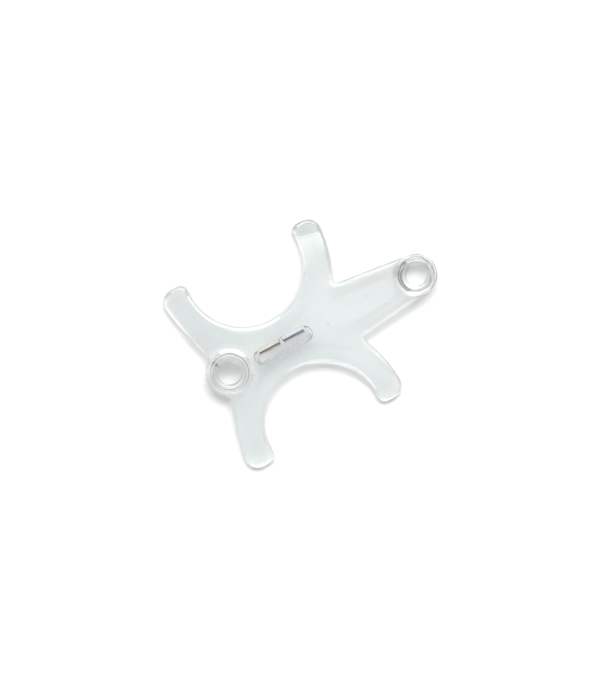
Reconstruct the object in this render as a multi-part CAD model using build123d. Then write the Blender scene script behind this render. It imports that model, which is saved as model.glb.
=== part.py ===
"""Clear cheek retractor: a four-winged plate with two lip recesses, a gutter tail and three fitted inserts.

The plate lies across XY with its upper side towards +Z. X runs from the mouth end to the tail end, and XZ is the
plane of symmetry. The origin is under the middle of the part, on the surface that the four wing tips rest on.
Below, x_... values are measured from the axis of the mouth-end tube hole, and shift_x carries them to the origin.
"""
import math
import os

from build123d import *

# Plate: thickness, edge rounding and the arch that lifts its middle off the wing tips.
plate_thickness = 2.2
edge_radius = 0.85
arch_rise = 2.2
arch_half_span = 24.0
arch_end_blend = 12.0

# Wings, all four with tips at the same distance from the plane of symmetry.
tip_y = 27.95
x_inner_wing_outside = -8.05
x_outer_wing_outside = 41.35
tip_outside_radius = 3.8
tip_inside_radius = 2.4
inner_wing_waist = (-5.2, 13.0)
outer_wing_belly = (40.15, 16.6)

# Lip recesses: round bottoms that run out between the wings as straight sides.
x_recess = 16.85
recess_radius = 16.45
recess_y = 24.2

# Mouth end: the rounded nose around the first tube hole.
nose_centre_x = -0.4
nose_radius = 6.3
nose_corner = (-3.3, 5.6)
nose_blend = 1.6

# Tail: a tapering gutter with raised sides and a round end around the second tube hole.
x_tail_root = 37.1
tail_root_y = 8.35
x_tail_end = 58.6
tail_end_radius = 5.9
notch_blend = 0.8
side_inset = 0.55
side_height = 0.35
side_rounding = 0.2
x_side_start = 33.0
x_side_full = 42.0
x_gutter_start = 32.0
gutter_root_y = 5.6
gutter_end_y = 3.9
gutter_depth = 0.3
gutter_wall_slope = 0.7

# Tube collars: low drafted rings that stand on the plate. Each carries the flange of its bushing.
mouth_collar = {"x": 0.0, "base": 5.45, "top": 5.2, "flange": 4.7, "bore": 3.3, "plinth": 0.0}
tail_collar = {"x": 58.5, "base": 5.15, "top": 4.3, "flange": 4.15, "bore": 3.0, "plinth": side_height}
collar_height = 1.0
collar_foot = 0.3

# Tube bushings: thick liners pressed into the collars, each with a low flange that just laps the collar's top.
flange_overhang = 0.12
flange_thickness = 0.6
flange_rounding = 0.15
bore_chamfer = 0.18

# Frame socket: an obround cup let into the web. One wall of its pocket slopes, and a nib on that wall holds
# the frame's wire loop down.
x_socket = 16.8
socket_length = 17.8
socket_width = 4.6
socket_rim_height = 1.3
socket_rim_rounding = 0.4
socket_shoulder = 0.3
socket_pocket_length = 15.6
socket_pocket_width = 3.2
socket_pocket_corner = 0.8
socket_floor = 0.7
slope_width = 1.0
slope_length = 14.8
nib_radius = 0.45
nib_y = 1.3

plate_top = arch_rise + plate_thickness
beyond = 100.0


def mirrored(shape):
    """The shape together with its mirror image across the plane of symmetry."""
    return shape + mirror(shape, about=Plane.XZ)


def half_outline():
    """One half of the plate seen from above, with its corners still sharp."""
    nose_tip = (nose_centre_x - nose_radius, 0)
    nose_angle = math.atan2(nose_corner[1], nose_corner[0] - nose_centre_x)
    nose_middle = (math.pi + nose_angle) / 2
    on_nose = (nose_centre_x + nose_radius * math.cos(nose_middle), nose_radius * math.sin(nose_middle))
    nose_end = (nose_centre_x + nose_radius * math.cos(nose_angle), nose_radius * math.sin(nose_angle))
    recess_left = x_recess - recess_radius
    recess_right = x_recess + recess_radius
    tail_slope = math.atan2(tail_root_y - tail_end_radius, x_tail_end - x_tail_root)
    tangent = (x_tail_end + tail_end_radius * math.sin(tail_slope), tail_end_radius * math.cos(tail_slope))
    end_middle = math.pi / 4 - tail_slope / 2
    on_end = (x_tail_end + tail_end_radius * math.cos(end_middle), tail_end_radius * math.sin(end_middle))
    edges = [
        ThreePointArc(nose_tip, on_nose, nose_end),
        Spline(
            [nose_end, inner_wing_waist, (x_inner_wing_outside, tip_y)],
            tangents=[(0.0, 1.0), (0.0, 1.0)],
        ),
        Line((x_inner_wing_outside, tip_y), (recess_left, tip_y)),
        Line((recess_left, tip_y), (recess_left, recess_y)),
        ThreePointArc((recess_left, recess_y), (x_recess, recess_y - recess_radius), (recess_right, recess_y)),
        Line((recess_right, recess_y), (recess_right, tip_y)),
        Line((recess_right, tip_y), (x_outer_wing_outside, tip_y)),
        ThreePointArc((x_outer_wing_outside, tip_y), outer_wing_belly, (x_tail_root, tail_root_y)),
        Line((x_tail_root, tail_root_y), tangent),
        ThreePointArc(tangent, on_end, (x_tail_end + tail_end_radius, 0)),
        Line((x_tail_end + tail_end_radius, 0), nose_tip),
    ]
    return make_face(edges)


def corner_near(face, x, y):
    """The outline's corner nearest to a point."""
    return face.vertices().sort_by_distance((x, y, 0))[0]


def outline():
    """The whole plate seen from above, with its corners rounded."""
    face = mirrored(half_outline()).clean().face()
    corners = (
        (nose_corner[0], nose_corner[1], nose_blend),
        (x_inner_wing_outside, tip_y, tip_outside_radius),
        (x_recess - recess_radius, tip_y, tip_inside_radius),
        (x_recess + recess_radius, tip_y, tip_inside_radius),
        (x_outer_wing_outside, tip_y, tip_outside_radius),
        (x_tail_root, tail_root_y, notch_blend),
    )
    for side in (1, -1):
        for x, y, radius in corners:
            face = fillet(corner_near(face, x, side * y), radius).face()
    return face


def arched_slab(thickness):
    """A slab over the whole plate: flat under the wing tips and arched between them."""
    edge_y = tip_y + 2 * edge_radius

    def course(z):
        return [
            Line((-edge_y, z), (-arch_half_span, z)),
            ThreePointArc((-arch_half_span, z), (0, z + arch_rise), (arch_half_span, z)),
            Line((arch_half_span, z), (edge_y, z)),
        ]

    ends = [Line((side * edge_y, 0), (side * edge_y, thickness)) for side in (1, -1)]
    section = make_face(course(0) + course(thickness) + ends)
    creases = [v for v in section.vertices() if abs(abs(v.X) - arch_half_span) < 0.01]
    section = fillet(creases, arch_end_blend)
    return extrude(Plane.YZ * section, beyond, both=True)


def tail_face():
    """The tail's raised stock seen from above, a little inside the plate's edge."""
    radius = tail_end_radius - side_inset
    slope = math.atan2(tail_root_y - tail_end_radius, x_tail_end - x_tail_root)
    tangent_x = x_tail_end + radius * math.sin(slope)
    tangent_y = radius * math.cos(slope)
    start_y = tangent_y + (tangent_x - x_side_start) * math.tan(slope)
    sides = [Line((x_side_start, side * start_y), (tangent_x, side * tangent_y)) for side in (1, -1)]
    end = ThreePointArc((tangent_x, tangent_y), (x_tail_end + radius, 0), (tangent_x, -tangent_y))
    return make_face(sides + [end, Line((x_side_start, start_y), (x_side_start, -start_y))])


def tail_stock():
    """The tail's raised stock: it ramps up from the plate behind the web and stays level to the end."""
    ramp = Polyline(
        (x_side_start, 0),
        (x_side_start, plate_top),
        (x_side_full, plate_top + side_height),
        (beyond, plate_top + side_height),
        (beyond, 0),
        close=True,
    )
    stock = extrude(Plane.XZ * make_face(ramp), beyond, both=True) & extrude(tail_face(), beyond)
    level_top = stock.faces().sort_by(Axis.Z)[-1]
    outside = [edge for edge in level_top.edges() if (edge @ 0.5).X > x_side_full + 1]
    return fillet(outside, side_rounding) & arched_slab(beyond)


def gutter():
    """The space to cut along the tail: it narrows and deepens as far as the tail's collar."""
    height = 2 * (side_height + gutter_depth)

    def section(x, half_width, floor):
        top = half_width + gutter_wall_slope * height
        profile = Polyline(
            (-half_width, floor), (half_width, floor), (top, floor + height), (-top, floor + height), close=True
        )
        return Plane.YZ.offset(x) * make_face(profile)

    channel = loft(
        [
            section(x_gutter_start, gutter_root_y, plate_top),
            section(x_tail_end, gutter_end_y, plate_top - gutter_depth),
        ]
    )
    return channel - Pos(tail_collar["x"]) * Cylinder(tail_collar["base"], beyond)


def rim_edges(shape):
    """The edges where the upright outside walls meet the upper side and the underside."""
    found = []
    for face in shape.faces():
        if abs(face.normal_at().Z) < 0.01:
            found += [edge for edge in face.edges() if abs((edge @ 1).Z - (edge @ 0).Z) < 0.5 * edge.length]
    return found


def collar(sizes):
    """A drafted tube collar with a small foot, as deep as the plate's middle."""
    foot = plate_top + sizes["plinth"]
    top = foot + collar_height
    root = arch_rise + plate_thickness / 2
    profile = Polyline(
        (0, root),
        (sizes["base"] + collar_foot, root),
        (sizes["base"] + collar_foot, foot),
        (sizes["base"], foot + collar_foot),
        (sizes["top"], top),
        (0, top),
        close=True,
    )
    return Pos(sizes["x"]) * revolve(Plane.XZ * make_face(profile), Axis.Z)


def barrel_radius(sizes):
    """Radius of a bushing's barrel and of the seat it fills."""
    return sizes["flange"] - flange_overhang


def seat(sizes):
    """The hole that a bushing's barrel fills."""
    return Pos(sizes["x"]) * Cylinder(barrel_radius(sizes), beyond)


def bushing(sizes):
    """A flanged liner: the barrel fills the collar's seat and the flange lies on the collar's top."""
    collar_top = plate_top + sizes["plinth"] + collar_height
    barrel = barrel_radius(sizes)
    bottom = arch_rise
    top = collar_top + flange_thickness
    profile = Polyline(
        (sizes["bore"], bottom + bore_chamfer),
        (sizes["bore"] + bore_chamfer, bottom),
        (barrel, bottom),
        (barrel, collar_top),
        (sizes["flange"], collar_top),
        (sizes["flange"], top),
        (sizes["bore"] + bore_chamfer, top),
        (sizes["bore"], top - bore_chamfer),
        close=True,
    )
    ring = revolve(Plane.XZ * make_face(profile), Axis.Z)
    outer_edge = ring.edges().filter_by(GeomType.CIRCLE).group_by(Axis.Z)[-1].sort_by(SortBy.RADIUS)[-1]
    return Pos(sizes["x"]) * fillet(outer_edge, flange_rounding)


def obround(length, width, bottom, top):
    """An upright prism with round ends, centred on the frame socket."""
    return Pos(x_socket, 0, bottom) * extrude(SlotOverall(length, width), top - bottom)


def socket_window():
    """The opening in the plate that the socket's cup fills."""
    shoulders = 2 * socket_shoulder
    return obround(socket_length - shoulders, socket_width - shoulders, -beyond, beyond)


def pocket_slope():
    """The wedge that makes one wall of the pocket slope out to the rim."""
    wall_y = socket_pocket_width / 2
    floor = arch_rise + socket_floor
    rim_top = plate_top + socket_rim_height - socket_rim_rounding
    wedge = Polyline(
        (wall_y - slope_width, floor), (wall_y, rim_top), (wall_y + slope_width / 4, floor), close=True
    )
    return Pos(x_socket) * extrude(Plane.YZ * make_face(wedge), slope_length / 2, both=True)


def frame_socket():
    """The obround cup: a rounded rim on the plate, a pocket for the frame's wire loop, and the nib that holds it."""
    rim_top = plate_top + socket_rim_height
    rim = obround(socket_length, socket_width, plate_top, rim_top)
    rim = fillet(rim.faces().sort_by(Axis.Z)[-1].edges(), socket_rim_rounding)
    shoulders = 2 * socket_shoulder
    cup = obround(socket_length - shoulders, socket_width - shoulders, arch_rise, rim_top - socket_rim_rounding)
    pocket_plan = RectangleRounded(socket_pocket_length, socket_pocket_width, socket_pocket_corner)
    pocket = Pos(x_socket, 0, arch_rise + socket_floor) * extrude(pocket_plan, beyond)
    nib = Pos(x_socket, nib_y, arch_rise + socket_floor / 2) * Cylinder(
        nib_radius, rim_top - arch_rise - socket_floor / 2, align=(Align.CENTER, Align.CENTER, Align.MIN)
    )
    return rim + cup - pocket + pocket_slope() + nib


def retractor_body():
    """The moulding: plate, wings, gutter tail and both collars, open where the inserts go."""
    plate = arched_slab(plate_thickness) & extrude(outline(), beyond, both=True)
    shape = fillet(rim_edges(plate), edge_radius) + tail_stock() - gutter()
    for sizes in (mouth_collar, tail_collar):
        shape = shape + collar(sizes) - seat(sizes)
    return shape - socket_window()


def main():
    parts = {
        "retractor_body": retractor_body(),
        "mouth_end_tube_bushing": bushing(mouth_collar),
        "tail_end_tube_bushing": bushing(tail_collar),
        "frame_socket": frame_socket(),
    }
    reach = outline().bounding_box()
    to_origin = Pos(-(reach.min.X + reach.max.X) / 2)
    os.makedirs("parts", exist_ok=True)
    for name, shape in parts.items():
        export_step(to_origin * shape, f"parts/{name}.step")


main()
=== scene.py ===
"""A clear dental cheek retractor on a pale table, seen from above.

Lengths are in millimetres until a mesh is made. In the plan, x is measured from the axis of the mouth-end tube
hole towards the tail, y = 0 is the plane of symmetry, and z is the height above the table.
"""
import math

import bpy
import numpy as np
from mathutils import Matrix, Vector
from mathutils.geometry import delaunay_2d_cdt


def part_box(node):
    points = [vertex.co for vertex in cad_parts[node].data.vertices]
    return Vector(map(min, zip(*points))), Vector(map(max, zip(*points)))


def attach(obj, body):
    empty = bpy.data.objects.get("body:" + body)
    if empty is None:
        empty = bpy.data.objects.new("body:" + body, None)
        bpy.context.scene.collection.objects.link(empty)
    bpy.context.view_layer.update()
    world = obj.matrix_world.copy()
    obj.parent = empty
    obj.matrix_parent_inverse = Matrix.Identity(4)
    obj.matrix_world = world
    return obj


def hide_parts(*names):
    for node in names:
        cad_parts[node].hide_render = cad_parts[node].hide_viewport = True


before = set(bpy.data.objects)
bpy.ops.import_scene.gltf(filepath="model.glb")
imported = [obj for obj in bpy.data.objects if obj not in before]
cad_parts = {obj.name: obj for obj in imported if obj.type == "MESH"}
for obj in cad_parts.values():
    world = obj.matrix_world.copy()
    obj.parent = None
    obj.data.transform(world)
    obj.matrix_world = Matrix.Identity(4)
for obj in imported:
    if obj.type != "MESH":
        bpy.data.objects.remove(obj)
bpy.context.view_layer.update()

MM = 0.001


def frame_box(node):
    """A CAD node's lowest and highest corners, in millimetres."""
    low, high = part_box(node)
    return np.array(low) / MM, np.array(high) / MM


# ---------------------------------------------------------------- sizes
#
# A pair named ..._fade holds the two values between which a shape or a tint comes or goes.

mouth_low, mouth_high = frame_box("mouth_end_tube_bushing")
tail_low, tail_high = frame_box("tail_end_tube_bushing")
socket_low, socket_high = frame_box("frame_socket")
tip_y = frame_box("retractor_body")[1][1]

shift_x = (mouth_low[0] + mouth_high[0]) / 2
x_tail_hole = (tail_low[0] + tail_high[0]) / 2 - shift_x
x_socket = (socket_low[0] + socket_high[0]) / 2 - shift_x

# Plate. Its arch ends in a crease that runs square across the inner wings and slants across the outer ones.
plate_thickness = 2.2
arch_rise = socket_low[2]
plate_top = arch_rise + plate_thickness
square_crease_y = 24.3
crease_slant = 0.246
x_crease_slant = 34.0
crease_slant_length = 8.0
inner_crease_softness = 0.2
outer_crease_softness = 0.01
x_outer_wings = 20.0

# The plate's edge: a rounded part, then a shallow bevel that fades out along the tail.
edge_inset = 1.0
edge_round_share = 0.5
edge_round_end = math.radians(72)
edge_rings = 16
bevel_slope = math.tan(math.radians(18))
bevel_rings = (0.15, 0.4, 0.65, 0.85, 1.0)
bevel_fade = (35, 41)

# Plan of the wings, recesses, nose and tail.
x_inner_wing_outside = -8.05
x_outer_wing_outside = 41.35
inner_wing_waist = np.array((-5.2, 13.0))
outer_wing_belly = np.array((40.15, 16.6))
tip_outside_radius = 3.8
tip_inside_radius = 2.4
x_recess = 16.85
recess_radius = 16.45
recess_y = 24.2
nose_centre_x = -0.4
nose_radius = 6.3
nose_corner = np.array((-3.3, 5.6))
nose_blend = 1.6
x_tail_root = 37.1
tail_root_y = 8.35
x_tail_end = 58.6
tail_end_radius = 5.9
notch_blend = 0.8

# Relief of the tail: raised sides and a sunken floor.
side_height = 0.25
side_x_fade = (31.5, 42.5)
side_edge_fade = (-2.2, -0.1)
gutter_depth = 0.3
gutter_x_fade = (30, 50)
gutter_wall_fade = (1.5, 4.2)

# Relief of the web and the wings.
recess_roll = 0.1
roll_fade = (1.2, 4.6)
groove_depth = 0.12
groove_from_edge = 4.3
groove_half_width = 0.9
recess_mouth_fade = (-4, 2)
recess_tail_fade = (33, 38)
recess_side_fade = (17, 25)
witness_line_height = 0.08
witness_half_width = 0.15

# Collars. Each has a flared foot, which spreads as far as the plate's edge leaves room. The land is the strip
# between the foot and the edge's rounding.
collar_height = 1.0
collar_edge = 0.12
collar_land = 0.12
flare_slope = math.radians(35)
foot_share = 0.75
foot_clearance = 0.25
least_foot = 0.15
seat_lead = 0.08
press_fit = 0.02
mouth_collar = {
    "x": 0.0,
    "base": 5.45,
    "top": 5.2,
    "flange": (mouth_high[0] - mouth_low[0]) / 2,
    "bore": 3.3,
    "plinth": 0.0,
    "foot": 2.3,
}
tail_collar = {
    "x": x_tail_hole,
    "base": 5.15,
    "top": 4.3,
    "flange": (tail_high[0] - tail_low[0]) / 2,
    "bore": 3.0,
    "plinth": tail_high[2] - mouth_high[2],
    "foot": 1.5,
}

# Bushings.
flange_overhang = 0.12
flange_thickness = 0.6
flange_rounding = 0.15
bore_rounding = 0.18
barrel_rounding = 0.1

# Socket. The pocket's lip is made by scaling the slot about its middle. lip_spread scales it less along than
# across, which makes the lip about equally wide all round. The bead is the small knob on the rim, by the nib.
socket_half_length = (socket_high[0] - socket_low[0]) / 2
socket_half_width = (socket_high[1] - socket_low[1]) / 2
socket_shoulder = 0.3
socket_pocket_half_length = 7.8
socket_pocket_half_width = 1.6
socket_pocket_corner = 0.8
socket_floor = 0.7
slope_width = 1.0
slope_half_length = 7.4
slope_end_fade = (slope_half_length - 0.5, slope_half_length)
cup_rounding = 0.2
rim_rounding = 0.45
pocket_lip = 0.2
lip_spread = np.array((0.25, 1.0))
nib_radius = 0.45
nib_y = 1.3
bead_radius = 0.5
bead_y = 1.85
bead_foot = 0.3
bead_lift = 0.1

# Picture: what it shows, and from where. Its upward direction is turned clockwise from +y.
image_turn = math.radians(27.7)
image_height = 690
image_pixels_per_mm = 3.6
image_middle = (20.9, -2.2)
camera_lens = 100
camera_sensor = 36
camera_tilt = math.radians(5)

# Tints. Each ..._painted_shade is the share of the light that painted shade takes away in a faint darker zone.
clear_tint = np.array((0.985, 1.0, 1.0))
# Painted shade on the upper wings and on the tips of the outer wings.
inner_wing_painted_shade = 0.1
inner_wing_x_fade = (-3, 12)
inner_wing_y_fade = (3, 12)
outer_wing_painted_shade = 0.08
outer_wing_x_fade = (28, 33)
outer_wing_y_fade = (9, 14)
tip_painted_shade = 0.05
tip_x_fade = (20, 30)
tip_y_fade = (22, 25)
# Painted shade in a streak along the lip recesses and along the upper recess's edge.
web_streak_painted_shade = 0.06
web_edge_painted_shade = 0.05
web_edge_distance = 1.5
web_edge_half_width = 1.0
web_mouth_fade = (1, 6)
web_tail_fade = (26, 33)
web_side_fade = (10, 17)
# Painted shade along the tail, lighter in one streak, with darker streaks, a darker upper edge and a darker
# collar ring.
tail_painted_shade = 0.02
tail_streak_painted_shade = 0.07
tail_light_streak_y = -2.0
tail_dark_streaks_y = (4.5, -4.1)
tail_streak_half_width = 0.8
tail_root_fade = (31, 39)
tail_end_fade = (49, 54)
tail_edge_painted_shade = 0.17
tail_edge_distance = 1.3
tail_edge_half_width = 1.3
tail_edge_x_fade = (34, 40)
tail_edge_y_fade = (1, 4)
tail_collar_painted_shade = 0.1
tail_collar_fade = (6, 7)
# The liners are slightly darker all over.
liner_darkness = 0.15

# Dark marks. The tail collar's are painted dark reflections: radius, half width, first and last angle in
# degrees, and strength.
mark_darkness = 0.97
collar_marks = (
    (4.42, 0.13, 132, 228, 1.0),
    (4.96, 0.18, 140, 222, 1.0),
    (4.6, 0.3, 104, 116, 1.0),
    (5.6, 0.2, 45, 75, 0.4),
)
mark_end_softness = 5
bushing_spot = (-2.3, 3.9)
bushing_spot_radius = 0.25
specks = ((30.5, -0.7), (43.5, 1.3), (47.4, -3.3))
speck_radius = 0.2
speck_core = 0.6
speck_light = 0.2

# The socket's slope carries painted shade, by the share of the way down, and painted colour fringes. Each
# fringe has a colour at its mouth end and another at its tail end.
slope_dark_fade = (0.32, 0.52)
slope_light_fade = (0.85, 1.0)
slope_light = 0.6
dark_end_fade = (slope_half_length - 0.6, slope_half_length - 0.3)
dark_nib_fade = (nib_radius, nib_radius + 0.1)
top_fringe = (np.array((1.0, 0.75, 0.1)), np.array((0.3, 0.2, 0.2)))
top_fringe_middle = 0.2
top_fringe_half_width = 0.25
bottom_fringe = (np.array((0.5, 0.25, 0.15)), np.array((0.35, 0.3, 0.75)))
bottom_fringe_middle = 1.0
bottom_fringe_half_width = 0.1
fringe_change_fade = (-3, 1)

# Grain: rows of cream and cyan dots on a slightly darker ground, on the frosted upper side only.
upper_side_share = 0.8
grain_pitch = 0.8
grain_turn = image_turn + math.radians(45)
grain_disorder = 0.25
grain_height = 0.003
grain_ground = (0.845, 0.88, 0.88, 1)
cream_dot = (1.0, 0.96, 0.93, 1)
cyan_dot = (0.83, 1.0, 1.0, 1)
dot_edge = 0.5
dot_core = 0.2
grain_tail_loss = 0.35
grain_tail_fade = (28, 36)
grain_edge_fade = (edge_inset - 0.05, edge_inset + 0.2)
grain_foot_fade = (-0.2, 0.6)
grain_headroom = 0.1

# Finish and refraction of the plastics.
polished = 0.03
frosted = 0.3
frost_fade = (0.1, 0.3)
silicone_roughness = 0.06
polycarbonate_index = 1.58
silicone_index = 1.41
acrylic_index = 1.5
mottle_size = 0.7
mottle_height = 0.1

# Mesh spacing. The inset window is how many outline points the edge's rounding is smoothed over.
dense_step = 0.04
outline_step = 0.3
slot_step = 0.1
witness_step = 0.12
fill_pitch = 0.34
socket_pitch = 0.5
ring_points = 144
inset_window = 15
tolerance = 0.01


# ---------------------------------------------------------------- plane curves


def line(start, end):
    """Points along a straight line."""
    start, end = np.array(start, float), np.array(end, float)
    count = max(2, int(np.linalg.norm(end - start) / dense_step) + 1)
    return start + np.linspace(0, 1, count)[:, None] * (end - start)


def arc(centre, radius, start, end):
    """Points along an arc between two angles in radians."""
    count = max(3, int(abs(end - start) * radius / dense_step) + 1)
    angles = np.linspace(start, end, count)
    return np.array(centre) + radius * np.column_stack((np.cos(angles), np.sin(angles)))


def arc_through(start, middle, end):
    """Points along the arc through three points."""
    rows = 2 * np.array((middle - start, end - start))
    centre = np.linalg.solve(rows, (middle @ middle - start @ start, end @ end - start @ start))
    angles = [math.atan2(*(point - centre)[::-1]) for point in (start, middle, end)]
    angles = np.unwrap(angles)
    return arc(centre, np.linalg.norm(start - centre), angles[0], angles[2])


def smooth_curve(points, start_direction, end_direction):
    """Points along a smooth curve through the given points, with set directions at its ends."""
    points = np.array(points, float)
    chords = np.linalg.norm(np.diff(points, axis=0), axis=1)
    inner = [(points[i + 1] - points[i - 1]) / (chords[i - 1] + chords[i]) for i in range(1, len(points) - 1)]
    slopes = np.array([start_direction, *inner, end_direction], float)
    pieces = []
    for i, chord in enumerate(chords):
        t = np.linspace(0, 1, max(3, int(chord / dense_step)))[:, None]
        pieces.append(
            (2 * t**3 - 3 * t**2 + 1) * points[i]
            + (t**3 - 2 * t**2 + t) * slopes[i] * chord
            + (3 * t**2 - 2 * t**3) * points[i + 1]
            + (t**3 - t**2) * slopes[i + 1] * chord
        )
    return np.concatenate(pieces)


def distances(points, curve):
    """For each point, its distance to the nearest point of a curve and that point's index."""
    batch = 4000
    least = np.zeros(len(points))
    nearest = np.zeros(len(points), int)
    for first in range(0, len(points), batch):
        part = slice(first, first + batch)
        gaps = np.linalg.norm(points[part, None] - curve[None], axis=2)
        least[part] = gaps.min(axis=1)
        nearest[part] = gaps.argmin(axis=1)
    return least, nearest


def rounded(first, second, radius):
    """Two curves that meet at a corner, joined there by an arc."""
    into, out = first[-1] - first[-2], second[1] - second[0]
    side = math.copysign(1, into[0] * out[1] - into[1] * out[0])
    along = np.gradient(first, axis=0)
    along /= np.linalg.norm(along, axis=1)[:, None] + 1e-12
    centres = first + side * radius * np.column_stack((-along[:, 1], along[:, 0]))
    reach = int(4 * radius / dense_step)
    last = max(0, len(first) - reach)
    gap, nearest = distances(centres[last:], second[:reach])
    touching = int(np.nonzero(gap >= radius)[0][-1])
    index, foot = last + touching, nearest[touching]
    centre = centres[index]
    start, end = (math.atan2(*(point - centre)[::-1]) for point in (first[index], second[foot]))
    start, end = np.unwrap((start, end))
    return np.concatenate((first[:index], arc(centre, radius, start, end), second[foot + 1 :]))


def evenly_spaced(curve, step):
    """The curve's points again, at even distances along it."""
    lengths = np.concatenate(([0], np.cumsum(np.linalg.norm(np.diff(curve, axis=0), axis=1))))
    count = int(round(lengths[-1] / step))
    wanted = np.linspace(0, lengths[-1], count + 1)
    return np.column_stack([np.interp(wanted, lengths, curve[:, axis]) for axis in (0, 1)])


tail_slope = math.atan2(tail_root_y - tail_end_radius, x_tail_end - x_tail_root)


def half_outline():
    """The edge of the plate on the +y side, from the nose to the end of the tail."""
    nose_angle = math.atan2(nose_corner[1], nose_corner[0] - nose_centre_x)
    nose_direction = np.array((math.cos(nose_angle), math.sin(nose_angle)))
    nose_end = np.array((nose_centre_x, 0)) + nose_radius * nose_direction
    left, right = x_recess - recess_radius, x_recess + recess_radius
    tangent = (x_tail_end + tail_end_radius * math.sin(tail_slope), tail_end_radius * math.cos(tail_slope))
    root = np.array((x_tail_root, tail_root_y))
    recess = np.concatenate(
        (
            line((left, tip_y), (left, recess_y)),
            arc((x_recess, recess_y), recess_radius, math.pi, 2 * math.pi)[1:],
            line((right, recess_y), (right, tip_y))[1:],
        )
    )
    tail = np.concatenate(
        (line(root, tangent), arc((x_tail_end, 0), tail_end_radius, math.pi / 2 - tail_slope, 0)[1:])
    )
    inner_tip = np.array((x_inner_wing_outside, tip_y))
    corners = (
        (smooth_curve((nose_end, inner_wing_waist, inner_tip), (0, 1), (0, 1)), nose_blend),
        (line(inner_tip, (left, tip_y)), tip_outside_radius),
        (recess, tip_inside_radius),
        (line((right, tip_y), (x_outer_wing_outside, tip_y)), tip_inside_radius),
        (arc_through(np.array((x_outer_wing_outside, tip_y)), outer_wing_belly, root), tip_outside_radius),
        (tail, notch_blend),
    )
    edge = arc((nose_centre_x, 0), nose_radius, math.pi, nose_angle)
    for curve, radius in corners:
        edge = rounded(edge, curve, radius)
    return edge


def whole_outline():
    """The closed edge of the plate, clockwise from the nose, and its inward normals."""
    half = evenly_spaced(half_outline(), outline_step)
    loop = np.concatenate((half, (half * (1, -1))[-2:0:-1]))
    along = np.roll(loop, -1, axis=0) - np.roll(loop, 1, axis=0)
    along /= np.linalg.norm(along, axis=1)[:, None]
    return loop, np.column_stack((along[:, 1], -along[:, 0]))


plate_edge, plate_inward = whole_outline()


# ---------------------------------------------------------------- relief


def smoothstep(value, low, high):
    """0 below low, 1 above high, and a smooth rise between."""
    t = np.clip((value - low) / (high - low), 0, 1)
    return t * t * (3 - 2 * t)


def hump(value, middle, half_width):
    """1 at the middle, falling smoothly to nearly 0 at twice the half width."""
    return np.exp(-(((value - middle) / half_width) ** 2))


def crease_y(x):
    """How far out the arch ends."""
    return square_crease_y - crease_slant * np.clip(x - x_crease_slant, 0, crease_slant_length)


def arch(x, y):
    """The arch of the plate, which is level with the wing tips at its ends."""
    span = crease_y(x)
    inside = arch_rise * (1 - (y / span) ** 2)
    soft = np.where(x > x_outer_wings, outer_crease_softness, inner_crease_softness)
    return np.maximum(0.5 * (inside + np.sqrt(inside**2 + soft**2)) - 0.5 * soft, 0)


def inside_tail(x, y):
    """Distance inside the tail's edge, which is carried on forwards into the plate."""
    tangent_x = x_tail_end + tail_end_radius * math.sin(tail_slope)
    tangent_y = tail_end_radius * math.cos(tail_slope)
    side = (tangent_y + (tangent_x - x) * math.tan(tail_slope) - np.abs(y)) * math.cos(tail_slope)
    end = tail_end_radius - np.hypot(x - x_tail_end, y)
    return np.where(x > x_tail_end, np.minimum(side, end), side)


def tail_relief(x, y):
    """Raised sides and sunken floor of the tail."""
    inside = inside_tail(x, y)
    channel = smoothstep(inside, *gutter_wall_fade)
    sides = side_height * smoothstep(x, *side_x_fade) * smoothstep(inside, *side_edge_fade)
    floor = gutter_depth * smoothstep(x, *gutter_x_fade)
    return sides * (1 - channel) - floor * channel


def recess_distance(x, y):
    """Distance from the edge of the nearer lip recess, into the plate."""
    return np.hypot(x - x_recess, np.minimum(np.abs(y) - recess_y, 0)) - recess_radius


def recess_relief(x, y):
    """The rolled rim along the lip recesses, with a shallow groove inside it."""
    from_edge = recess_distance(x, y)
    fade = 1 - smoothstep(np.abs(y), *recess_side_fade)
    fade = fade * (1 - smoothstep(x, *recess_tail_fade)) * smoothstep(x, *recess_mouth_fade)
    roll = recess_roll * (1 - smoothstep(from_edge, *roll_fade))
    groove = groove_depth * hump(from_edge, groove_from_edge, groove_half_width)
    return fade * (roll - groove)


def witness_line(x, y):
    """The fine raised line across each outer wing where its tip begins."""
    return witness_line_height * hump(np.abs(y), crease_y(x), witness_half_width) * (x > x_outer_wings)


def witness_points():
    """Closely spaced points along both witness lines."""
    x = np.arange(x_recess + recess_radius, x_outer_wing_outside, witness_step)
    rows = [
        np.column_stack((x, side * (crease_y(x) + step * witness_half_width)))
        for side in (-1, 1)
        for step in np.arange(-2.5, 3, 0.5)
    ]
    return np.concatenate(rows)


def upper_side(x, y):
    """Height of the plate's upper side."""
    return arch(x, y) + plate_thickness + tail_relief(x, y) + recess_relief(x, y) + witness_line(x, y)


def underside(x, y):
    """Height of the plate's underside."""
    return arch(x, y)


# ---------------------------------------------------------------- tints


def blend(first, second, share):
    """The first colour where the share is 0 and the second where it is 1."""
    return first * (1 - share) + second * share


def ring_mark(x, y, centre_x, radius, half_width, start, end):
    """A mark along part of a ring: 1 on it and 0 away from it. The angles are in degrees."""
    angle = np.degrees(np.arctan2(y, x - centre_x)) % 360
    begun = smoothstep(angle, start - mark_end_softness, start + mark_end_softness)
    ended = smoothstep(angle, end - mark_end_softness, end + mark_end_softness)
    return begun * (1 - ended) * hump(np.hypot(x - centre_x, y), radius, half_width)


def on_upper_side(x, y, z):
    """Whether a point of the moulding is near or above the plate's upper side."""
    return z > arch(x, y) + upper_side_share * plate_thickness


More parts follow.
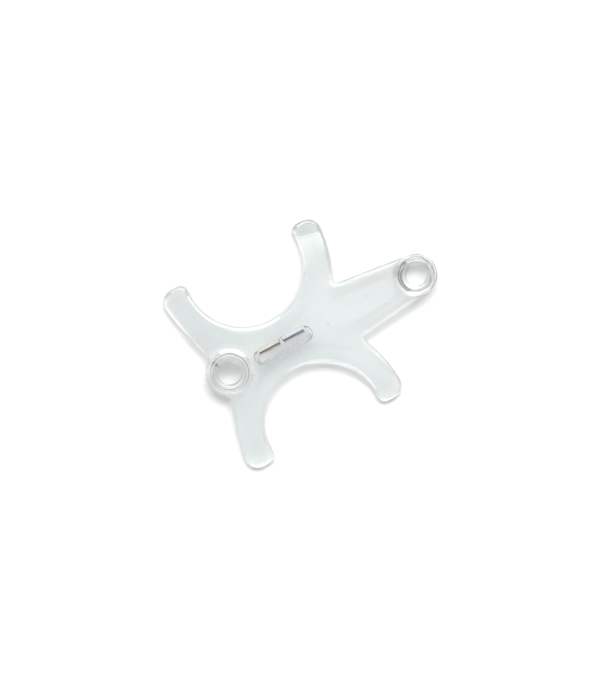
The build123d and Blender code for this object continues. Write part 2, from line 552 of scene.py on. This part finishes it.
def painted_shade_on_wings(x, y):
    """Painted shade: the darker upper wings and the tips of the outer wings."""
    inner = (1 - smoothstep(x, *inner_wing_x_fade)) * smoothstep(y, *inner_wing_y_fade)
    outer = smoothstep(x, *outer_wing_x_fade) * smoothstep(y, *outer_wing_y_fade)
    tips = smoothstep(x, *tip_x_fade) * smoothstep(np.abs(y), *tip_y_fade)
    return inner_wing_painted_shade * inner + outer_wing_painted_shade * outer + tip_painted_shade * tips


def painted_shade_on_web(x, y):
    """Painted shade: the streak along both recesses and the darker edge of the upper one."""
    web = smoothstep(x, *web_mouth_fade) * (1 - smoothstep(x, *web_tail_fade))
    web = web * (1 - smoothstep(np.abs(y), *web_side_fade))
    from_recess = recess_distance(x, y)
    streak = hump(from_recess, groove_from_edge, groove_half_width)
    edge = (y > 0) * hump(from_recess, web_edge_distance, web_edge_half_width)
    return web * (web_streak_painted_shade * streak + web_edge_painted_shade * edge)


def painted_shade_on_tail(x, y):
    """Painted shade: the dark and light streaks along the tail, its darker upper edge and the darker ring of
    its collar.
    """
    tail = smoothstep(x, *tail_root_fade) * (1 - smoothstep(x, *tail_end_fade))
    light = hump(y, tail_light_streak_y, tail_streak_half_width)
    dark = sum(hump(y, middle, tail_streak_half_width) for middle in tail_dark_streaks_y)
    edge = hump(inside_tail(x, y), tail_edge_distance, tail_edge_half_width)
    edge = edge * smoothstep(x, *tail_edge_x_fade) * smoothstep(y, *tail_edge_y_fade)
    collar = 1 - smoothstep(np.hypot(x - x_tail_hole, y), *tail_collar_fade)
    painted_shade = tail * (tail_painted_shade * (1 - light) + tail_streak_painted_shade * dark)
    return painted_shade + tail_edge_painted_shade * edge + tail_collar_painted_shade * collar


def grain_strength(x, y, z):
    """How strong the dot grain is: none on the edges, the collars and the underside, and less on the tail."""
    from_edge = distances(np.column_stack((x, y)), plate_edge)[0]
    grain = smoothstep(from_edge, *grain_edge_fade) * (1 - grain_tail_loss * smoothstep(x, *grain_tail_fade))
    grain = grain * on_upper_side(x, y, z) * (z < plate_top + side_height + grain_headroom)
    for sizes in (mouth_collar, tail_collar):
        from_foot = np.hypot(x - sizes["x"], y) - (sizes["base"] + sizes["foot"])
        grain = grain * smoothstep(from_foot, *grain_foot_fade)
    return grain


def body_tint(x, y, z):
    """Tint of the moulding, with painted shade and painted dark marks, and the strength of its dot grain as
    the fourth value.
    """
    painted_shade = painted_shade_on_wings(x, y) + painted_shade_on_web(x, y) + painted_shade_on_tail(x, y)
    marks = sum(strength * ring_mark(x, y, x_tail_hole, *place) for *place, strength in collar_marks)
    marks = np.minimum(marks * on_upper_side(x, y, z), 1)
    share = (1 - painted_shade) * (1 - mark_darkness * marks)
    return np.column_stack((clear_tint * share[:, None], grain_strength(x, y, z)))


def bushing_tint(x, y, z):
    """Tint of the liners: slightly darker, with a dark spot on the mouth-end one."""
    spot = hump(np.hypot(x - bushing_spot[0], y - bushing_spot[1]), 0, bushing_spot_radius)
    share = (1 - liner_darkness) * (1 - mark_darkness * spot[:, None])
    return np.column_stack((clear_tint * share, np.zeros(len(x))))


def socket_tint(x, y, z):
    """Tint of the cup: painted shade on its slope, with a painted coloured fringe along the top and the
    bottom.
    """
    along = x - x_socket
    down = (socket_pocket_half_width - y) / slope_width
    in_pocket = (z < socket_high[2] - pocket_lip - tolerance) & (z > arch_rise + socket_floor - tolerance)
    slope = in_pocket * (y > 0) * smoothstep(np.abs(along), *dark_nib_fade)
    slope = slope * (1 - smoothstep(np.abs(along), *dark_end_fade))
    top = (slope * hump(down, top_fringe_middle, top_fringe_half_width))[:, None]
    bottom = (slope * hump(down, bottom_fringe_middle, bottom_fringe_half_width))[:, None]
    towards_tail = smoothstep(along, *fringe_change_fade)[:, None]
    tint = blend(clear_tint, blend(*top_fringe, towards_tail), top)
    tint = blend(tint, blend(*bottom_fringe, towards_tail), bottom)
    dark = slope * smoothstep(down, *slope_dark_fade)
    dark = dark * (1 - slope_light * smoothstep(down, *slope_light_fade))
    return np.column_stack((tint * (1 - dark)[:, None], np.zeros(len(x))))


# ---------------------------------------------------------------- meshes


def inside_loop(points, loop):
    """Which of the points lie inside a closed loop."""
    x, y = points[:, 0], points[:, 1]
    inside = np.zeros(len(points), bool)
    for a, b in zip(loop, np.roll(loop, -1, axis=0)):
        if a[1] != b[1]:
            crosses = (a[1] > y) != (b[1] > y)
            inside ^= crosses & (x < (b[0] - a[0]) * (y - a[1]) / (b[1] - a[1]) + a[0])
    return inside


class Surface:
    """A mesh under construction."""

    def __init__(self):
        self.points = []
        self.faces = []

    def add(self, plan, height):
        """Adds points and returns their indices."""
        first = len(self.points)
        height = np.broadcast_to(height, len(plan))
        self.points += [(x, y, z) for (x, y), z in zip(plan, height)]
        return list(range(first, len(self.points)))

    def strip(self, lower, upper):
        """Joins two closed rings of points. Seen from outside, lower runs anticlockwise below upper."""
        for i in range(len(lower)):
            k = (i + 1) % len(lower)
            self.faces.append((lower[i], lower[k], upper[k], upper[i]))

    def fill(self, rings, height, pitch, up, extra=()):
        """Fills the plan inside the first ring and outside the others with a fine net at the given height.

        Extra points make the net finer where they are.
        """
        loops = [np.array([self.points[i][:2] for i in ring]) for ring in rings]
        indices = [i for ring in rings for i in ring]
        border = np.concatenate(loops)
        low, high = border.min(axis=0), border.max(axis=0)
        rows = np.arange(low[1] + pitch / 2, high[1], pitch * math.sqrt(0.75))
        columns = np.arange(low[0], high[0], pitch)
        grid = np.array([(x + (n % 2) * pitch / 2, y) for n, y in enumerate(rows) for x in columns])
        clearance = 0.6 * pitch
        if len(extra):
            grid = np.concatenate((grid[distances(grid, extra)[0] > clearance], extra))
        keep = inside_loop(grid, loops[0])
        for hole in loops[1:]:
            keep &= ~inside_loop(grid, hole)
        grid = grid[keep]
        grid = grid[distances(grid, border)[0] > clearance]
        indices += self.add(grid, height(grid[:, 0], grid[:, 1]))
        plan = np.concatenate((border, grid))
        edges, first = [], 0
        for loop in loops:
            edges += [(first + i, first + (i + 1) % len(loop)) for i in range(len(loop))]
            first += len(loop)
        found, _, triangles, origin, _, _ = delaunay_2d_cdt([Vector(p) for p in plan], edges, [], 0, 1e-6)
        found = np.array([tuple(p) for p in found])
        triangles = np.array(triangles)
        middles = found[triangles].mean(axis=1)
        wanted = inside_loop(middles, loops[0])
        for hole in loops[1:]:
            wanted &= ~inside_loop(middles, hole)
        for triangle in triangles[wanted]:
            a, b, c = (indices[origin[i][0]] for i in triangle)
            self.faces.append((a, b, c) if up else (a, c, b))

    def piece(self, name, material, tint):
        """Makes the Blender object, tinted by a function of x, y and z."""
        colours = tint(*np.array(self.points).T)
        points = (np.array(self.points) + (shift_x, 0, 0)) * MM
        mesh = bpy.data.meshes.new(name)
        mesh.from_pydata(points.tolist(), [], self.faces)
        mesh.validate()
        mesh.shade_smooth()
        mesh.materials.append(material)
        mesh.color_attributes.new("tint", "FLOAT_COLOR", "POINT").data.foreach_set("color", colours.ravel())
        made = bpy.data.objects.new(name, mesh)
        bpy.context.scene.collection.objects.link(made)
        return made


def circle(x, radius):
    """Points round a circle on the centre line, anticlockwise."""
    angles = ring_angles()
    return np.column_stack((x + radius * np.cos(angles), radius * np.sin(angles)))


def slot_loop(half_length, half_width, corner):
    """Points round a long slot on the centre line with rounded corners, anticlockwise from its lower left."""
    spine = half_length - corner
    along = np.linspace(-spine, spine, int(2 * socket_half_length / slot_step))
    turn = np.linspace(-math.pi / 2, math.pi / 2, 25)[1:-1]
    centre_y = np.sign(turn) * (half_width - corner)
    right = np.column_stack((spine + corner * np.cos(turn), centre_y + corner * np.sin(turn)))
    bottom = np.column_stack((along, np.full(len(along), -half_width)))
    loop = np.concatenate((bottom, right, -bottom, -right))
    return loop + (x_socket, 0)


def corner_arc(centre, radius, start, end, count=5):
    """(distance, height) points round a rounded corner of a turned profile. Angles are in degrees."""
    angles = np.radians(np.linspace(start, end, count))
    return [(centre[0] + radius * math.cos(a), centre[1] + radius * math.sin(a)) for a in angles]


def ring_angles():
    """The directions of the points round a collar."""
    return np.linspace(0, 2 * math.pi, ring_points, endpoint=False)


def barrel_radius(sizes):
    """Radius of a bushing's barrel and of the seat it fills."""
    return sizes["flange"] - flange_overhang


def collar_foot(sizes):
    """How far the collar's foot spreads in each direction."""
    room = distances(circle(sizes["x"], sizes["base"]), plate_edge)[0]
    return np.clip(foot_share * (room - foot_clearance), least_foot, sizes["foot"])


def collar_plan(sizes):
    """The ring on the plate's upper side where the collar's foot begins."""
    angles = ring_angles()
    radius = sizes["base"] + collar_foot(sizes)
    return np.column_stack((sizes["x"] + radius * np.cos(angles), radius * np.sin(angles)))


def edge_rounding(loop):
    """How far in the plate's rounded edge reaches at each point of the outline."""
    inset = np.full(len(loop), edge_inset)
    for sizes in (mouth_collar, tail_collar):
        inset = np.minimum(inset, distances(loop, collar_plan(sizes))[0] - collar_land)
    window = np.hanning(inset_window)
    margin = inset_window // 2
    around = np.concatenate((inset[-margin:], inset, inset[:margin]))
    return np.minimum(inset, np.convolve(around, window / window.sum(), "valid"))


def collar_rings(surface, sizes, top_ring, bottom_ring):
    """The collar of one tube hole and the seat inside it, between its rings on the plate's two sides."""
    foot_z = np.array([surface.points[i][2] for i in top_ring])
    bottom_z = np.array([surface.points[i][2] for i in bottom_ring])
    rim_z = plate_top + sizes["plinth"] + collar_height
    seat_radius = barrel_radius(sizes) - press_fit
    angles = ring_angles()
    foot = collar_foot(sizes)
    flare_radius = foot / math.sin(flare_slope)
    rings = [top_ring]

    def add(radius, height):
        radius = np.broadcast_to(radius, ring_points)
        plan = np.column_stack((sizes["x"] + radius * np.cos(angles), radius * np.sin(angles)))
        rings.append(surface.add(plan, height))

    for turn in np.linspace(0, flare_slope, 9)[1:]:
        add(
            sizes["base"] + foot - flare_radius * math.sin(turn),
            foot_z + flare_radius * (1 - math.cos(turn)),
        )
    wall_start = foot_z + flare_radius * (1 - math.cos(flare_slope))
    wall_end = rim_z - collar_edge
    for part in np.linspace(0, 1, 6)[1:]:
        add(
            sizes["base"] + part * (sizes["top"] - sizes["base"]),
            wall_start + part * (wall_end - wall_start),
        )
    for radius, height in corner_arc((sizes["top"] - collar_edge, rim_z - collar_edge), collar_edge, 25, 90):
        add(radius, height)
    add(seat_radius + seat_lead, rim_z)
    add(seat_radius, rim_z - seat_lead)
    add(seat_radius, (rim_z + bottom_z) / 2)
    add(seat_radius, bottom_z + seat_lead)
    rings.append(bottom_ring)
    for lower, upper in zip(rings, rings[1:]):
        surface.strip(lower, upper)


def body_piece(material):
    """The moulding: plate, wings, gutter tail and collars as one closed surface."""
    surface = Surface()
    loop, inward = plate_edge[::-1], plate_inward[::-1]
    rings = []
    inset = edge_rounding(loop)[:, None]
    round_width = edge_round_share * inset
    bevel_width = inset - round_width
    on_tail = smoothstep(loop[:, 0], *bevel_fade) * (np.abs(loop[:, 1]) < tail_root_y)
    bevel_drop = bevel_slope * bevel_width[:, 0] * (1 - on_tail)
    for turn in np.linspace(-math.pi / 2, edge_round_end, edge_rings):
        plan = loop + inward * round_width * (1 - math.cos(turn)) / (1 - math.cos(edge_round_end))
        bottom = underside(*plan.T)
        half_height = (upper_side(*plan.T) - bevel_drop - bottom) / (1 + math.sin(edge_round_end))
        rings.append(surface.add(plan, bottom + half_height * (1 + math.sin(turn))))
    for part in bevel_rings:
        plan = loop + inward * (round_width + part * bevel_width)
        rings.append(surface.add(plan, upper_side(*plan.T) - bevel_drop * (1 - part)))
    for lower, upper in zip(rings, rings[1:]):
        surface.strip(lower, upper)
    top_holes, bottom_holes = [], []
    for sizes in (mouth_collar, tail_collar):
        above = collar_plan(sizes)
        below = circle(sizes["x"], barrel_radius(sizes) - press_fit + seat_lead)
        top_holes.append(surface.add(above, upper_side(*above.T)))
        bottom_holes.append(surface.add(below, underside(*below.T)))
        collar_rings(surface, sizes, top_holes[-1], bottom_holes[-1])
    neck = socket_half_width - socket_shoulder - press_fit
    window = slot_loop(socket_half_length - socket_shoulder - press_fit, neck, neck)
    window_top = surface.add(window, upper_side(*window.T))
    window_bottom = surface.add(window, underside(*window.T))
    surface.strip(window_top, window_bottom)
    surface.fill([rings[-1], *top_holes, window_top], upper_side, fill_pitch, True, witness_points())
    surface.fill([rings[0], *bottom_holes, window_bottom], underside, fill_pitch, False)
    return surface.piece("clear_body", material, body_tint)


def turned_piece(name, x, profile, material):
    """A closed ring turned about an upright axis on the centre line. The profile runs anticlockwise."""
    surface = Surface()
    rings = [surface.add(circle(x, radius), height) for radius, height in profile]
    for lower, upper in zip(rings, rings[1:] + rings[:1]):
        surface.strip(lower, upper)
    return surface.piece(name, material, bushing_tint)


def bushing_piece(name, sizes, material):
    """A flanged liner with rounded edges."""
    bottom = mouth_low[2]
    rim = plate_top + sizes["plinth"] + collar_height - press_fit
    top = rim + flange_thickness + press_fit
    barrel = barrel_radius(sizes)
    bore = sizes["bore"]
    profile = [
        *corner_arc((bore + bore_rounding, bottom + bore_rounding), bore_rounding, 180, 270),
        *corner_arc((barrel - barrel_rounding, bottom + barrel_rounding), barrel_rounding, 270, 360, 3),
        (barrel, (bottom + rim) / 2),
        (barrel, rim),
        (sizes["flange"], rim),
        *corner_arc((sizes["flange"] - flange_rounding, top - flange_rounding), flange_rounding, 0, 90, 7),
        *corner_arc((bore + bore_rounding, top - bore_rounding), bore_rounding, 90, 180, 7),
        (bore, (bottom + top) / 2),
    ]
    return turned_piece(name, sizes["x"], profile, material)


def pocket_plan(height, pocket_floor, rim_top):
    """The pocket's wall at one height: one side slopes, and the nib stands out of it."""
    plan = slot_loop(socket_pocket_half_length, socket_pocket_half_width, socket_pocket_corner)
    x, y = plan[:, 0] - x_socket, plan[:, 1]
    below_rim = np.clip((rim_top - height) / (rim_top - pocket_floor), 0, 1)
    on_slope = (y > 0) * (1 - smoothstep(np.abs(x), *slope_end_fade))
    y -= slope_width * below_rim * on_slope
    on_nib = (y > 0) & (np.abs(x) < nib_radius)
    nib_face = nib_y - np.sqrt(np.maximum(nib_radius**2 - x**2, 0))
    plan[:, 1] = np.where(on_nib, np.minimum(y, nib_face), y)
    return plan


def socket_piece(material):
    """The obround cup with its rounded rim, its pocket, the pocket's slope and the nib."""
    surface = Surface()
    top = socket_high[2]
    outer = socket_half_width
    spine = socket_half_length - outer
    neck = outer - socket_shoulder
    pocket_floor = arch_rise + socket_floor
    outside = [
        *corner_arc((neck - cup_rounding, arch_rise + cup_rounding), cup_rounding, 270, 360, 4),
        (neck, plate_top - press_fit),
        (outer, plate_top - press_fit),
        *corner_arc((outer - rim_rounding, top - rim_rounding), rim_rounding, 0, 90, 8),
    ]
    rings = [surface.add(slot_loop(spine + width, width, width), height) for width, height in outside]
    rim_top = top - pocket_lip
    mouth = pocket_plan(rim_top, pocket_floor, rim_top)
    middle = np.array((x_socket, 0))
    for turn in np.radians(np.linspace(90, 0, 6)):
        widening = lip_spread * pocket_lip * (1 - math.cos(turn)) / socket_pocket_half_width
        plan = middle + (mouth - middle) * (1 + widening)
        rings.append(surface.add(plan, rim_top + pocket_lip * math.sin(turn)))
    for height in np.linspace(rim_top, pocket_floor, 12)[1:]:
        rings.append(surface.add(pocket_plan(height, pocket_floor, rim_top), height))
    for lower, upper in zip(rings, rings[1:]):
        surface.strip(lower, upper)
    surface.fill([rings[-1]], lambda x, y: np.full(len(x), pocket_floor), socket_pitch, True)
    surface.fill([rings[0]], lambda x, y: np.full(len(x), arch_rise), socket_pitch, False)
    bead = [
        surface.add(circle(x_socket, radius) + (0, bead_y), top - bead_radius + height)
        for radius, height in ((bead_radius, -bead_foot), *corner_arc((0, bead_lift), bead_radius, 0, 80, 9))
    ]
    for lower, upper in zip(bead, bead[1:]):
        surface.strip(lower, upper)
    surface.faces.append(bead[0][::-1])
    surface.faces.append(bead[-1])
    return surface.piece("clear_socket", material, socket_tint)


# ---------------------------------------------------------------- materials


class Nodes:
    """Adds shader nodes to a material or a world and links them in one step."""

    def __init__(self, owner):
        self.tree = owner.node_tree

    def add(self, kind, inputs, output=0, **settings):
        """Adds a node and returns one of its outputs. Each input is given a number or another output."""
        node = self.tree.nodes.new(kind)
        for setting, value in settings.items():
            setattr(node, setting, value)
        for socket, value in inputs.items():
            if isinstance(value, bpy.types.NodeSocket):
                self.tree.links.new(value, node.inputs[socket])
            else:
                node.inputs[socket].default_value = value
        return node.outputs[output]

    def math(self, operation, first, second=0.0):
        """Adds a Math node."""
        return self.add("ShaderNodeMath", {0: first, 1: second}, operation=operation)

    def mix(self, share, first, second):
        """Adds a Mix node, which goes from the first colour to the second."""
        inputs = {"Factor": share, "A": first, "B": second}
        return self.add("ShaderNodeMix", inputs, "Result", data_type="RGBA")


def clear_plastic(name, roughness, index):
    """Clear plastic that bends light and takes its tint from the mesh."""
    material = bpy.data.materials.new(name)
    material.use_nodes = True
    nodes = Nodes(material)
    shader = nodes.tree.nodes["Principled BSDF"]
    shader.inputs["Roughness"].default_value = roughness
    shader.inputs["IOR"].default_value = index
    shader.inputs["Transmission Weight"].default_value = 1.0
    tint = nodes.add("ShaderNodeAttribute", {}, "Color", attribute_name="tint")
    nodes.tree.links.new(tint, shader.inputs["Base Color"])
    return material


def add_bump(nodes, height, distance):
    """Adds fine relief to a material."""
    relief = nodes.add("ShaderNodeBump", {"Height": height, "Distance": distance * MM})
    nodes.tree.links.new(relief, nodes.tree.nodes["Principled BSDF"].inputs["Normal"])


def add_dot_grain(material):
    """Adds rows of fine cream and cyan dots on a slightly darker ground, and a few dark specks."""
    nodes = Nodes(material)
    shader = nodes.tree.nodes["Principled BSDF"]
    tint = shader.inputs["Base Color"].links[0].from_socket
    strength = tint.node.outputs["Alpha"]
    position = nodes.add("ShaderNodeTexCoord", {}, "Object")
    turned = nodes.add("ShaderNodeMapping", {"Vector": position, "Rotation": (0, 0, grain_turn)})
    cells = nodes.add(
        "ShaderNodeTexVoronoi",
        {"Vector": turned, "Scale": 1 / (grain_pitch * MM), "Randomness": grain_disorder},
        voronoi_dimensions="2D",
    ).node.outputs
    limits = {"From Min": dot_edge, "From Max": dot_core}
    dots = nodes.add("ShaderNodeMapRange", {"Value": cells["Distance"], **limits})
    kind = nodes.add("ShaderNodeSeparateColor", {"Color": cells["Color"]}, "Red")
    dot = nodes.mix(kind, cream_dot, cyan_dot)
    grain = nodes.mix(dots, grain_ground, dot)
    grain = nodes.mix(strength, (1, 1, 1, 1), grain)
    share = 1.0
    reach = speck_radius * MM
    limits = {"From Min": speck_core * reach, "From Max": reach, "To Min": speck_light}
    for x, y in specks:
        place = Vector((x + shift_x, y, float(upper_side(x, y)))) * MM
        gap = nodes.add("ShaderNodeVectorMath", {0: position, 1: place}, "Value", operation="DISTANCE")
        share = nodes.math("MULTIPLY", share, nodes.add("ShaderNodeMapRange", {"Value": gap, **limits}))
    shaded = nodes.add("ShaderNodeVectorMath", {0: tint, 1: share}, operation="MULTIPLY")
    coloured = nodes.add("ShaderNodeVectorMath", {0: shaded, 1: grain}, operation="MULTIPLY")
    nodes.tree.links.new(coloured, shader.inputs["Base Color"])
    limits = {"From Min": frost_fade[0], "From Max": frost_fade[1], "To Min": polished, "To Max": frosted}
    frost = nodes.add("ShaderNodeMapRange", {"Value": strength, **limits})
    nodes.tree.links.new(frost, shader.inputs["Roughness"])
    add_bump(nodes, nodes.math("MULTIPLY", dots, strength), grain_height)


def add_mottling(material):
    """Adds the shallow unevenness of a surface that was not polished."""
    nodes = Nodes(material)
    position = nodes.add("ShaderNodeTexCoord", {}, "Object")
    waves = nodes.add("ShaderNodeTexNoise", {"Vector": position, "Scale": 1 / (mottle_size * MM)}, "Fac")
    add_bump(nodes, waves, mottle_height)


body_material = clear_plastic("clear_polycarbonate", polished, polycarbonate_index)
add_dot_grain(body_material)
bushing_material = clear_plastic("clear_silicone", silicone_roughness, silicone_index)
socket_material = clear_plastic("clear_acrylic", polished, acrylic_index)
add_mottling(socket_material)

body = body_piece(body_material)
mouth_bushing = bushing_piece("mouth_bushing", mouth_collar, bushing_material)
tail_bushing = bushing_piece("tail_bushing", tail_collar, bushing_material)
cup = socket_piece(socket_material)

# The light that clear plastic gathers keeps the tail-end bore bright. Its liner's shadow would darken it.
tail_bushing.visible_shadow = False

for piece, node, slot in (
    (body, "retractor_body", "clear_body"),
    (mouth_bushing, "mouth_end_tube_bushing", "clear_bushing"),
    (tail_bushing, "tail_end_tube_bushing", "clear_bushing"),
    (cup, "frame_socket", "clear_socket"),
):
    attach(piece, "root")
    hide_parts(node)

# ---------------------------------------------------------------- table, light and camera

image_up = Vector((math.sin(image_turn), math.cos(image_turn), 0))
image_right = Vector((math.cos(image_turn), -math.sin(image_turn), 0))


def add_table():
    """A pale table top, a hair below the wing tips so that no two surfaces lie in one plane."""
    reach = 2.0
    gap = 0.00005
    corners = [(x, y, -gap) for x, y in ((-reach, -reach), (reach, -reach), (reach, reach), (-reach, reach))]
    mesh = bpy.data.meshes.new("table_top")
    mesh.from_pydata(corners, [], [(0, 1, 2, 3)])
    material = bpy.data.materials.new("pale_table")
    material.use_nodes = True
    shader = material.node_tree.nodes["Principled BSDF"]
    shader.inputs["Base Color"].default_value = (0.9, 0.9, 0.9, 1)
    shader.inputs["Roughness"].default_value = 0.9
    mesh.materials.append(material)
    table_top = bpy.data.objects.new("table_top", mesh)
    bpy.context.scene.collection.objects.link(table_top)


def add_surround():
    """A white studio, brighter overhead than along the horizon."""
    world = bpy.data.worlds.new("studio")
    world.use_nodes = True
    nodes = Nodes(world)
    direction = nodes.add("ShaderNodeTexCoord", {}, "Generated")
    height = nodes.add("ShaderNodeSeparateXYZ", {"Vector": direction}, "Z")
    limits = {"From Min": 0.05, "From Max": 0.5, "To Min": 0.1, "To Max": 0.22}
    brightness = nodes.add("ShaderNodeMapRange", {"Value": height, **limits})
    background = nodes.tree.nodes["Background"]
    background.inputs["Color"].default_value = (1, 1, 1, 1)
    nodes.tree.links.new(brightness, background.inputs["Strength"])
    bpy.context.scene.world = world


def turn_to_face(thing, back):
    """Turns a lamp or camera to look against a direction, with the picture's upward direction as its own."""
    right = image_up.cross(back).normalized()
    thing.rotation_mode = "QUATERNION"
    thing.rotation_quaternion = Matrix((right, back.cross(right), back)).transposed().to_quaternion()


def softbox(name, across, height, size, energy, shadow=True, only_reflected=False):
    """A rectangular studio light that points at the middle of the object.

    One that is only reflected shows as a highlight. It lights neither the table nor what is seen through the
    plastic.
    """
    light = bpy.data.lights.new(name, "AREA")
    light.shape = "RECTANGLE"
    light.size, light.size_y = size
    light.energy = energy
    light.use_shadow = shadow
    lamp = bpy.data.objects.new(name, light)
    bpy.context.scene.collection.objects.link(lamp)
    lamp.location = across + Vector((0, 0, height))
    if only_reflected:
        lamp.visible_camera = False
        lamp.visible_diffuse = False
        lamp.visible_transmission = False
    turn_to_face(lamp, lamp.location.normalized())


def add_lights():
    """The lights of the picture, and four low screens that brighten the plastic's edges from the sides."""
    softbox("key", image_up * 0.58 + image_right * 0.04, 0.81, (0.95, 0.42), 10.2)
    softbox("low", image_up * 0.8, 0.6, (1.2, 0.3), 2.5)
    softbox("fill", Vector((0, 0, 0)), 1.0, (1.0, 1.0), 3.3, shadow=False)
    softbox("left", image_right * -0.58, 0.81, (0.5, 0.36), 1.2, only_reflected=True)
    softbox("right", image_right * 0.58, 0.81, (0.5, 0.36), 1.2, only_reflected=True)
    softbox("front", image_up * -0.77, 0.64, (0.8, 0.3), 2.5, only_reflected=True)
    for turn in (0, 90, 180, 270):
        across = Matrix.Rotation(math.radians(turn), 3, "Z") @ image_up
        softbox(f"screen_{turn}", across, 0.3, (1.5, 0.5), 2.4, only_reflected=True)


def add_camera():
    """A long lens that looks almost straight down, with no depth of field."""
    camera_data = bpy.data.cameras.new("camera")
    camera_data.lens = camera_lens
    camera_data.sensor_width = camera_sensor
    camera_data.clip_start = 0.01
    camera_data.clip_end = 10
    camera = bpy.data.objects.new("camera", camera_data)
    bpy.context.scene.collection.objects.link(camera)
    look_at = Vector(((image_middle[0] + shift_x) * MM, image_middle[1] * MM, plate_top * MM))
    away = Vector((0, math.sin(camera_tilt), math.cos(camera_tilt)))
    view_height = image_height / image_pixels_per_mm * MM
    camera.location = look_at + away * view_height * camera_lens / camera_sensor
    turn_to_face(camera, away.normalized())
    bpy.context.scene.camera = camera


add_table()
add_surround()
add_lights()
add_camera()
bpy.context.scene.view_settings.view_transform = "Standard"
